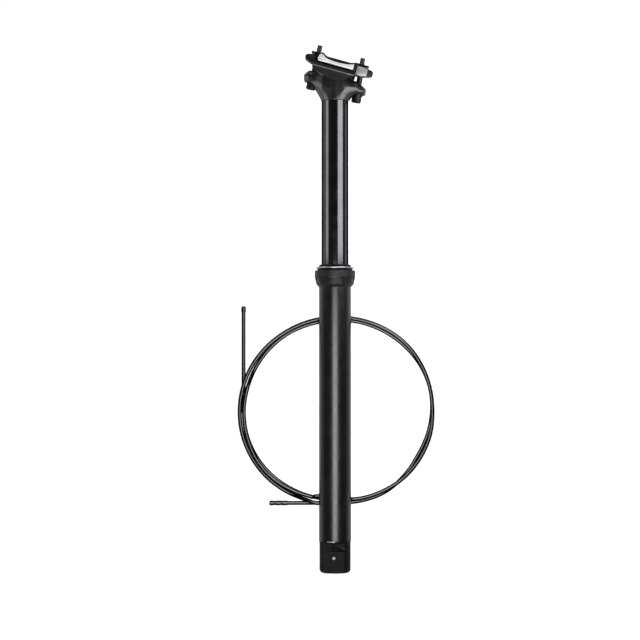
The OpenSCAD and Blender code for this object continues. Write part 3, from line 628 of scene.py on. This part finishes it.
# The length and the belts of each route's tip ferrule, in millimetres.
TIPS = {"a": (5.6, (3.9,)), "b": (18.1, (5.9, 12.4))}
HIDDEN_END = (5.5, (3.8,))
for key, route in ROUTES.items():
    tip = add_ferrule("ferrule_%s_tip_cap" % key, "ferrule_%s_tip" % key,
                      ferrule_place(route[1::-1], SOCKET), ferrule_outline(*TIPS[key]))
    end = add_ferrule("ferrule_%s_end_cap" % key, "ferrule_%s_end" % key,
                      ferrule_place(route, SOCKET), ferrule_outline(*HIDDEN_END))
    cord = add_cord("cable_housing_" + key, route)
    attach(cord, "lower_post")
    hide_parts("housing_%s_lead" % key, "housing_%s_coil" % key)

# Post

TUBE_R, BORE_R, TUBE_LOW = 15.8, 14.0, -250.0
THREAD_R, THREAD_TOP = 15.4, 10.5
STANCHION_R, STANCHION_BORE = 13.25, 11.5
STANCHION_LOW, STANCHION_TOP = -77.0, 184.0
COLLAR_R, COLLAR_H = 20.0, 16.2

turned("lower_tube_shell", [(TUBE_R, TUBE_LOW), (TUBE_R, 0), (THREAD_R, 0), (THREAD_R, THREAD_TOP),
                            (BORE_R, THREAD_TOP), (BORE_R, TUBE_LOW)], 0.3,
       "lower_post", "lower_tube", ["lower_tube"], 180)

RECESS_R, RECESS = STANCHION_R - 0.5, (-74.9, -52.0)
CIRCLIP_R, CIRCLIP = 12.3, (-75.9, -74.9)
turned("stanchion_shell", [
    (STANCHION_R, STANCHION_TOP), (STANCHION_BORE, STANCHION_TOP), (STANCHION_BORE, STANCHION_LOW),
    (STANCHION_R, STANCHION_LOW), (STANCHION_R, CIRCLIP[0]), (CIRCLIP_R, CIRCLIP[0]),
    (CIRCLIP_R, CIRCLIP[1]), (RECESS_R, CIRCLIP[1]), (RECESS_R, RECESS[1]), (STANCHION_R, RECESS[1])],
       0.15, "upper_post", "stanchion", ["stanchion"], 180)

SEAL_LOW, SEAL_TOP, LIP = 11.6, 22.1, 13.35
SEAL_R, FLANGE_R, SEAL_GROOVE = 16.5, 17.3, 15.6
GROOVE_LOW, GROOVE_TOP = COLLAR_H + 1.9, COLLAR_H + 3.5
turned("wiper_seal_lips", [
    (LIP, SEAL_LOW), (SEAL_R, SEAL_LOW), (SEAL_R, COLLAR_H), (FLANGE_R, COLLAR_H), (FLANGE_R, GROOVE_LOW),
    (SEAL_GROOVE, GROOVE_LOW), (SEAL_GROOVE, GROOVE_TOP), (16.3, GROOVE_TOP),
    (15.9, GROOVE_TOP + 1.1), (14.8, SEAL_TOP), (LIP, SEAL_TOP - 0.6), (LIP + 0.7, SEAL_TOP - 2.2),
    (LIP + 0.7, SEAL_LOW + 2.4), (LIP, SEAL_LOW + 1)], 0.3,
       "lower_post", "rubber", ["wiper_seal"])
RING_IN, RING_OUT, RING_LOW, RING_TOP = 15.65, 18.4, COLLAR_H + 1.95, COLLAR_H + 3.45
turned("seal_spring_ring", [(RING_IN, RING_LOW), (RING_OUT, RING_LOW), (RING_OUT, RING_TOP),
                            (RING_IN, RING_TOP)], 0.55,
       "lower_post", "spring", ["wiper_ring"])


def collar():
    """Nut ring with five spanner notches under its upper band."""
    notches, notch_angle, notch_steps = 5, 48, 24
    notch_low, notch_top, notch_in, notch_out = -1, 8.7, 18.0, 23
    mesh = bmesh.new()
    add_lathe_profile(mesh, rounded([
        (15.42, 0), (16, 0), (17.3, 1.5), (18.5, 2.7), (19.6, 7.9), (COLLAR_R, 9.9),
        (COLLAR_R, COLLAR_H), (16.55, COLLAR_H), (16.55, THREAD_TOP), (15.42, THREAD_TOP)], 0.3), 180)
    piece = new_piece("collar_nut", mesh)
    outline = [(notch_in, notch_low), (notch_out, notch_low), (notch_out, notch_top), (notch_in, notch_top)]
    cutters = []
    for k in range(notches):
        cutter = bmesh.new()
        middle = math.radians(-90 + k * 360 / notches)
        rings = []
        for s in range(notch_steps + 1):
            turn = middle + math.radians(notch_angle) * (s / notch_steps - 0.5)
            rings.append([cutter.verts.new((r * math.cos(turn), r * math.sin(turn), h)) for r, h in outline])
        for near, far in zip(rings, rings[1:]):
            for i in range(len(outline)):
                j = (i + 1) % len(outline)
                cutter.faces.new((near[i], far[i], far[j], near[j]))
        cutter.faces.new(rings[0])
        cutter.faces.new(rings[-1][::-1])
        cutters.append(new_piece("notch_cutter", cutter))
    cut_away(piece, cutters)
    soften(piece, 0.3)
    dress(piece, "lower_post", "turned", ["collar"])


collar()

# Foot

FOOT_TOP = -251.1
HIGHLIGHT_FROM, HIGHLIGHT_TO = -7.9, -0.3
crisp("foot_body", "foot_housing", 0.6, "lower_post", "foot")
# The ring is blackened but for a short stretch on the side that faces up, which is painted pale grey as a
# highlight.
ring = turned("retaining_ring_band", [(15.7, FOOT_TOP), (15.7, TUBE_LOW), (14.05, TUBE_LOW),
                                      (14.05, FOOT_TOP)], 0.25,
              "lower_post", "black_oxide", ["retaining_ring"])
second_material(ring, UPRIGHT, "blasted", 0, (HIGHLIGHT_FROM, HIGHLIGHT_TO), [],
              lambda at: HIGHLIGHT_FROM < at.x < HIGHLIGHT_TO and at.y < -TUBE_R / 2)


def socket_screw(name, node, place, radius, length, across, look, body):
    """Headless screw with a hexagon socket and rounded edges."""
    mesh = bmesh.new()
    add_lathe_profile(mesh, rounded([(0, 0), (radius, 0), (radius, length), (0, length)], 0.2), 48)
    piece = new_piece(name, mesh, place)
    cut_away(piece, [new_piece("socket_cutter", prism(across, -1, across), place)])
    dress(piece, body, look, [node])


FACING = Matrix.Rotation(math.radians(-90), 4, "X")
FLAT_TURN = Matrix.Rotation(math.radians(-7.2), 4, "Z")
SET_SCREW_AT, ANCHOR_SCREW_AT, LEVER_PIN_AT = (0, -10.3, -266.7), (11.0, -4.1, -257.0), (5.2, 0, -254.1)
PIN_R, PIN_HALF = 1.25, 9.4
STOP_X, STOP_BORE_R, STOP_R, STOP_LOW, STOP_TOP = 10.8, 2.55, 3.1, -280.2, -273
socket_screw("foot_clamp_screw", "foot_set_screw",
             UPRIGHT @ FLAT_TURN @ Matrix.Translation(SET_SCREW_AT) @ FACING, 1.6, 6.8, 1.5,
             "blasted", "lower_post")
socket_screw("cable_anchor_screw", "anchor_screw",
             UPRIGHT @ Matrix.Translation(ANCHOR_SCREW_AT) @ FACING, 1.25, 3.3, 1.3,
             "phosphated_and_painted_light", "lever")
turned("lever_pivot_pin", [(0, -PIN_HALF), (PIN_R, -PIN_HALF), (PIN_R, PIN_HALF), (0, PIN_HALF)], 0.3,
       "lower_post", "steel", ["lever_pin"], 48,
       UPRIGHT @ Matrix.Translation(LEVER_PIN_AT) @ FACING)
turned("cable_stop_sleeve", [(STOP_BORE_R, STOP_LOW), (STOP_R, STOP_LOW), (STOP_R, STOP_TOP),
                             (STOP_BORE_R, STOP_TOP)], 0.2,
       "lower_post", "satin_alloy", ["cable_stop_bush"], 64,
       UPRIGHT @ Matrix.Translation((STOP_X, 0, 0)))
crisp("actuator_lever_arm", "actuator_lever", 0.2, "lever", "blasted_black")

# Head and clamp

NECK_R, SPIGOT_R, SPIGOT_LOW, HEAD_BORE_R = 13.3, 11.48, 157.2, 9.0
TURN_AT, TROUGH_R = (2.99, 229.16), 24.5
REAR, FRONT = ((-24.0, 196.5), 12.7), ((20.8, 183.4), 9.1)
REAR_ARM = [(-28.2, 204.3), (-28.3, 208.9), (-25.2, 211.5), (-12, 212.6), (-8, 208), (-8, 196), (-13.5, 194)]
FRONT_ARM = [(28, 191), (28.3, 194.4), (22.3, 200.4), (12, 200.4), (8, 198), (8, 192.5), (14, 192)]
ARM_TIP_R, ARM_EDGE, BLEND = 2.4, 8.0, 12.0
ARM_HALF_IN, ARM_HALF_OUT, ARM_IN, ARM_OUT = 11.5, 8.4, 7.0, 24.0
CHEEK_LOW, CHEEK_TOP = 203.5, 209.0
CHEEK_WIDE_LOW, CHEEK_WIDE_TOP = 205.0, 213.0


def bolt_cuts(x, y, z, foot, lean):
    """Distance from a bolt's spot face, ball seat and slot in the head."""
    spot_r, spot_h, spot_deep, ball_r = 6.2, 7.0, 12, 9.05
    slot_r, slot_half, slot_top = 3.6, 0.5, 24.0
    tip = math.radians(lean)
    across = (x - foot[0]) * math.cos(tip) - (z - foot[1]) * math.sin(tip)
    up = (x - foot[0]) * math.sin(tip) + (z - foot[1]) * math.cos(tip)
    around = np.hypot(across, y)
    face = np.maximum(around - spot_r, np.maximum(up - spot_h, -spot_deep - up))
    ball = np.maximum(np.sqrt(across ** 2 + y ** 2 + up ** 2) - ball_r, around - spot_r + 0.2)
    ball = np.maximum(ball, -up)
    slot = np.hypot(np.maximum(np.abs(across) - slot_half, 0), y) - slot_r
    slot = np.maximum(slot, np.maximum(up - slot_top, -up))
    return np.minimum(np.minimum(face, ball), slot)


def head_field(points):
    """Forged head: the neck widens into two cheeks, and an arm runs out to each bolt."""
    neck_low, spigot_top, bore_top, edge = 184, 186, 190, 0.5
    cheek_x, cheek_y, cheek_blend = 8.0, NECK_R - 0.5, 2.0
    grow_x, grow_y, set_back = 7.8, 4.2, 1.25
    x, y, z = points[..., 0], points[..., 1], points[..., 2]
    shape = np.hypot(x, y) - NECK_R
    half = ARM_HALF_IN + (ARM_HALF_OUT - ARM_HALF_IN) * smooth_step((np.abs(x) - ARM_IN) / (ARM_OUT - ARM_IN))
    for arm in (REAR_ARM, FRONT_ARM):
        flat = outline_distance(x, z, arm) - ARM_TIP_R
        shape = smooth_min(shape, edge_rounded(flat, np.abs(y) - half, ARM_EDGE), BLEND)
    rise = smooth_step((z - CHEEK_LOW) / (CHEEK_TOP - CHEEK_LOW))
    widen = smooth_step((z - CHEEK_WIDE_LOW) / (CHEEK_WIDE_TOP - CHEEK_WIDE_LOW))
    half_x, half_y = cheek_x + grow_x * widen, cheek_y + grow_y * rise
    power = 2 + 2 * rise
    ring = (np.abs((x + set_back * rise) / half_x) ** power + np.abs(y / half_y) ** power) ** (1 / power)
    shape = smooth_min(shape, (ring - 1) * half_y, cheek_blend)
    shape = -smooth_min(-shape, z - neck_low, edge)
    spigot = np.maximum(np.hypot(x, y) - SPIGOT_R, np.maximum(SPIGOT_LOW - z, z - spigot_top))
    shape = np.minimum(shape, spigot)
    shape = -smooth_min(-shape, np.hypot(x - TURN_AT[0], z - TURN_AT[1]) - TROUGH_R, edge)
    bore = np.maximum(np.hypot(x, y) - HEAD_BORE_R, z - bore_top)
    shape = np.maximum(shape, -bore)
    for foot, lean in (REAR, FRONT):
        shape = -smooth_min(-shape, bolt_cuts(x, y, z, foot, lean), edge)
    return shape


HEAD_LOW, HEAD_TOP, HEAD_CELL = (-33, -18.5, 155), (33, 18.5, 219), 0.6
dress(field_piece("seatpost_head", head_field, HEAD_LOW, HEAD_TOP, HEAD_CELL),
      "upper_post", "forged", ["head"], 180)

# Frame of the clamp: its origin is on the rails' centre line, and it leans forward.
RAIL_Z, CLAMP_LEAN = 216.5, 15.5
IN_CLAMP = UPRIGHT @ Matrix.Translation((0, 0, RAIL_Z)) @ Matrix.Rotation(math.radians(CLAMP_LEAN), 4, "Y")
CLAMP_HALF, CLAMP_REACH = 24.0, 40
# The cradle's sides are cut back above its plate, and a pale line along the plate's top edge is a painted
# highlight.
PLATE_TOP, STRIP_TOP, STRIP_DEEP = -4.3, -1.5, 0.6
PLATE_REAR, PLATE_FRONT, EDGE_HIGHLIGHT_WIDE = -21.6, 20.6, 0.75
strips = [block("strip_cutter", (-CLAMP_REACH, side * CLAMP_HALF - STRIP_DEEP, PLATE_TOP),
                (CLAMP_REACH, side * CLAMP_HALF + STRIP_DEEP, STRIP_TOP), IN_CLAMP) for side in (-1, 1)]
cradle = crisp("lower_cradle", "cradle", 0.35, "saddle_clamp", "blasted_black",
               strips)
second_material(cradle, IN_CLAMP, "edge_highlight", CLAMP_HALF - 0.2, (),
              [(PLATE_REAR, PLATE_TOP - EDGE_HIGHLIGHT_WIDE), (PLATE_FRONT, PLATE_TOP - EDGE_HIGHLIGHT_WIDE)],
              lambda at: abs(at.y) > CLAMP_HALF - STRIP_DEEP - 0.1 and PLATE_REAR < at.x < PLATE_FRONT
              and PLATE_TOP - EDGE_HIGHLIGHT_WIDE < at.z < PLATE_TOP + 0.1)

# The rails' grooves and the wings' outer faces are painted near white up to a line, a painted reflection of
# the lamps; the rest stays black.
upper = crisp("upper_rail_clamp", "upper_clamp", 0.35, "saddle_clamp", "blasted_black")
GLARE_TOP = [(-18.5, 7.0), (-14, 7.6), (-12, 5.7), (-8.4, 4.2), (-3, 3.5), (4.8, 3.4), (12.9, 4.5),
              (17.8, 6.0)]
GROOVE_Y, GROOVE_Z, FACE_Y = 18.2, 3.6, 23.0
second_material(upper, IN_CLAMP, "painted_glare", FACE_Y, (), GLARE_TOP,
              lambda at: abs(at.y) > GROOVE_Y and GLARE_TOP[0][0] < at.x < GLARE_TOP[-1][0]
              and at.z < (height_at(GLARE_TOP, at.x) if abs(at.y) > FACE_Y else GROOVE_Z))
# The front ears' sides are painted a mid grey: a painted highlight, where that facet catches the light.
EAR_IN, EAR_OUT, EAR_FACE = 6.5, 10, (21.3, 32.0)
second_material(upper, IN_CLAMP, "blasted", FACE_Y, EAR_FACE, [],
              lambda at: EAR_IN < abs(at.y) < EAR_OUT and EAR_FACE[0] < at.x < EAR_FACE[1])

SEAT_R, FACE_H = 9.0, 5.2
BOLT_HEAD_R, SHANK_R, THREAD_CREST, THREAD_ROOT, PITCH = 4.8, 2.9, 2.62, 2.15, 1.0
SHANK_LEN, BOLT_LEN = 24.0, 43.4


def on_bolt(foot, lean):
    """Frame of a clamp bolt: its origin is the middle of its ball seat, and z runs up its shank."""
    return UPRIGHT @ Matrix.Translation((foot[0], 0, foot[1])) @ Matrix.Rotation(math.radians(lean), 4, "Y")


def add_thread(mesh, low, high):
    """Helical thread as one fine surface whose radius follows the helix, closed at both ends."""
    around, rows_a_turn, flank, run_out = 40, 8, 2.7, 0.8
    rows = int((high - low) / PITCH * rows_a_turn)
    rings = []
    for k in range(rows + 1):
        z = low + (high - low) * k / rows
        fade = min(1, (high - z) / run_out)
        ring = []
        for s in range(around):
            phase = (z / PITCH - s / around) % 1
            height = min(1, flank * (0.5 - abs(phase - 0.5)))
            r = THREAD_ROOT + (THREAD_CREST - THREAD_ROOT) * height * fade
            turn = 2 * math.pi * s / around
            ring.append(mesh.verts.new((r * math.cos(turn), r * math.sin(turn), z)))
        rings.append(ring)
    for near, far in zip(rings, rings[1:]):
        for s in range(around):
            t = (s + 1) % around
            mesh.faces.new((near[s], near[t], far[t], far[s]))
    mesh.faces.new(rings[0][::-1])
    mesh.faces.new(rings[-1])


def clamp_bolt(name, node, foot, lean, body):
    """Socket-head bolt: knurled head, plain shank and a cut thread."""
    place = on_bolt(foot, lean)
    mesh = bmesh.new()
    knurls, depth = 36, 0.12
    head_low, chamfer = -1.6, (0.7, 1.0)
    socket_across, socket_low, socket_top = 5, -3, 2.3
    outline = rounded([(0, head_low), (BOLT_HEAD_R - chamfer[0], head_low),
                       (BOLT_HEAD_R, head_low + chamfer[1]), (BOLT_HEAD_R, FACE_H),
                       (SHANK_R, FACE_H), (SHANK_R, SHANK_LEN), (0, SHANK_LEN)], 0.45)
    add_lathe_profile(mesh, outline, knurls * 4)
    for vert in mesh.verts:
        r = math.hypot(vert.co.x, vert.co.y)
        if r > BOLT_HEAD_R - 0.02:
            turn = math.atan2(vert.co.y, vert.co.x)
            shrink = 1 - depth * (0.5 - 0.5 * math.cos(turn * knurls)) / r
            vert.co.x *= shrink
            vert.co.y *= shrink
    piece = new_piece(name, mesh, place)
    cut_away(piece, [new_piece("socket_cutter", prism(socket_across, socket_low, socket_top), place)])
    soften(piece, 0.12, 50)
    dress(piece, body, "black_oxide", [node], 30)
    mesh = bmesh.new()
    add_thread(mesh, SHANK_LEN - 0.3, BOLT_LEN)
    # The thread is a lighter grey than the bolt's head: painted light for what its crests catch.
    dress(new_piece(name + "_thread", mesh, place), body, "phosphated_and_painted_light", (), 60)


def washer(name, node, foot, lean, body):
    """Dished washer: flat under the bolt's head, round against its seat."""
    inner, outer, steps = SHANK_R + 0.3, 5.7, 8
    outline = [(inner, FACE_H), (outer, FACE_H)]
    for k in range(steps + 1):
        r = outer + (inner - outer) * k / steps
        outline.append((r, math.sqrt(SEAT_R ** 2 - r ** 2)))
    turned(name, outline, 0.12, body, "black_oxide", [node], 64, on_bolt(foot, lean))


clamp_bolt("rear_clamp_screw", "rear_bolt", *REAR, "rear_clamp_bolt")
clamp_bolt("front_clamp_screw", "front_bolt", *FRONT, "front_clamp_bolt")
washer("rear_dished_washer", "rear_washer", *REAR, "rear_clamp_bolt")
washer("front_dished_washer", "front_washer", *FRONT, "front_clamp_bolt")
crisp("rear_nut_bar", "rear_nut", 0.15, "rear_barrel_nut", "black_oxide")
crisp("front_nut_bar", "front_nut", 0.15, "front_barrel_nut", "black_oxide")

# Hidden pieces keep their solids and get their real finishes.
NODE_LOOKS = {
    "upper_bushing": "bushing", "lower_bushing": "bushing", "bushing_circlip": "spring",
    "key_pins": "brass", "cartridge_rod": "spring", "rod_piston": "satin_alloy",
    "piston_ring": "rubber", "bottom_bumper": "red_rubber", "valve_pin": "steel",
    "cartridge_tube": "satin_alloy", "seal_head": "satin_alloy", "rod_seal": "rubber",
    "cartridge_plug": "satin_alloy", "floating_piston": "satin_alloy", "separator_ring": "rubber",
    "anchor_barrel": "phosphated_and_painted_light",
}
for node, look in NODE_LOOKS.items():
    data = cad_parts[node].data
    data.materials.clear()
    data.materials.append(LOOK[look])

# Bench, light and picture


def backdrop_glow(tree, seen, mirrored):
    """Share of the white background that camera and clear rays see, and the share that mirrored rays see.
    Other rays see none, so it doesn't light the object. What a mirrored ray meets is lit by the lamps or
    the dome already, so its share is small."""
    rays = add_node(tree, "ShaderNodeLightPath")
    direct = add_node(tree, "ShaderNodeMath", {0: rays.outputs["Is Camera Ray"],
                                               1: rays.outputs["Is Transmission Ray"]}, operation="MAXIMUM")
    seen_share = add_node(tree, "ShaderNodeMath", {0: direct.outputs[0]}, operation="MULTIPLY")
    seen_share.inputs[1].default_value = seen
    mirror_share = add_node(tree, "ShaderNodeMath", {0: rays.outputs["Is Glossy Ray"]}, operation="MULTIPLY")
    mirror_share.inputs[1].default_value = mirrored
    return add_node(tree, "ShaderNodeMath", {0: seen_share.outputs[0], 1: mirror_share.outputs[0]},
                    operation="MAXIMUM").outputs[0]


def bench():
    """Painted bench: pale grey, matt and even, just under the lowest turn of the coil."""
    half, steps, clear = 4000, 2, 0.05
    mesh = bmesh.new()
    bmesh.ops.create_grid(mesh, x_segments=steps, y_segments=steps, size=half)
    floor = new_piece("bench_floor", mesh, Matrix.Scale(MM, 4) @ Matrix.Translation((0, 0, FLOOR - clear)))
    material, tree, shader, place = new_material("pale_bench", "c4c4c6", Roughness=0.7)
    fine = noise(tree, place, 3)
    tinted(tree, shader, spread(tree, fine.outputs[0], 0, 1), "c1c1c3", "c7c7c9")
    shader.inputs["Emission Color"].default_value = linear("ffffff")
    tree.links.new(backdrop_glow(tree, seen=0.9, mirrored=0.2), shader.inputs["Emission Strength"])
    floor.data.materials.append(material)


def softbox(name, at, aim, size, radiance, along=(0, 1, 0)):
    """Rectangular light of a given brightness, which the camera doesn't see. Its first size runs along
    an axis."""
    data = bpy.data.lights.new(name, "AREA")
    data.shape = "RECTANGLE"
    data.size, data.size_y = size[0] * MM, size[1] * MM
    data.energy = radiance * math.pi * data.size * data.size_y
    lamp = bpy.data.objects.new(name, data)
    back = (Vector(at) - Vector(aim)).normalized()
    side = back.cross(Vector(along)).normalized()
    turn = Matrix((side.cross(back), side, back)).transposed()
    lamp.matrix_world = Matrix.Translation(Vector(at) * MM) @ turn.to_4x4()
    lamp.visible_camera = False
    bpy.context.scene.collection.objects.link(lamp)


def sky():
    """White to the camera; as light, a dim dome with a soft glow from the left."""
    world = bpy.data.worlds.new("studio")
    world.use_nodes = True
    tree = world.node_tree
    tree.nodes.clear()
    out = tree.nodes.new("ShaderNodeOutputWorld")
    dome = tree.nodes.new("ShaderNodeBackground")
    backdrop = add_node(tree, "ShaderNodeBackground", Strength=1.0)
    backdrop.inputs["Color"].default_value = linear("ffffff")
    place = tree.nodes.new("ShaderNodeTexCoord").outputs["Generated"]
    split = add_node(tree, "ShaderNodeSeparateXYZ", {"Vector": place})
    glow = add_node(tree, "ShaderNodeMapRange", {"Value": split.outputs[0]}, interpolation_type="SMOOTHSTEP",
                    From_Min=-0.95, From_Max=0.1, To_Min=0.08, To_Max=0.04)
    tree.links.new(glow.outputs[0], dome.inputs["Strength"])
    share = backdrop_glow(tree, seen=1.0, mirrored=0.02)
    mix = add_node(tree, "ShaderNodeMixShader", {0: share, 1: dome.outputs[0], 2: backdrop.outputs[0]})
    tree.links.new(mix.outputs[0], out.inputs[0])
    bpy.context.scene.world = world


bench()
sky()
softbox("softbox_lower_tube", (0, -150, 350), (0, -150, 0), (310, 190), 7)
softbox("panel_right", (157, 142, 152), (0, 142, 0), (215, 178), 4.2)
softbox("strip_left", (-205, 142, 70), (0, 142, 0), (215, 100), 2.3)
softbox("panel_top", (50, 560, 130), (0, 210, 0), (240, 110), 6.5, along=(1, 0, 0))

bpy.context.scene.view_settings.view_transform = "Standard"


def corners(bounds):
    """A box's two corners as plain lists."""
    return [list(map(float, corner)) for corner in bounds]
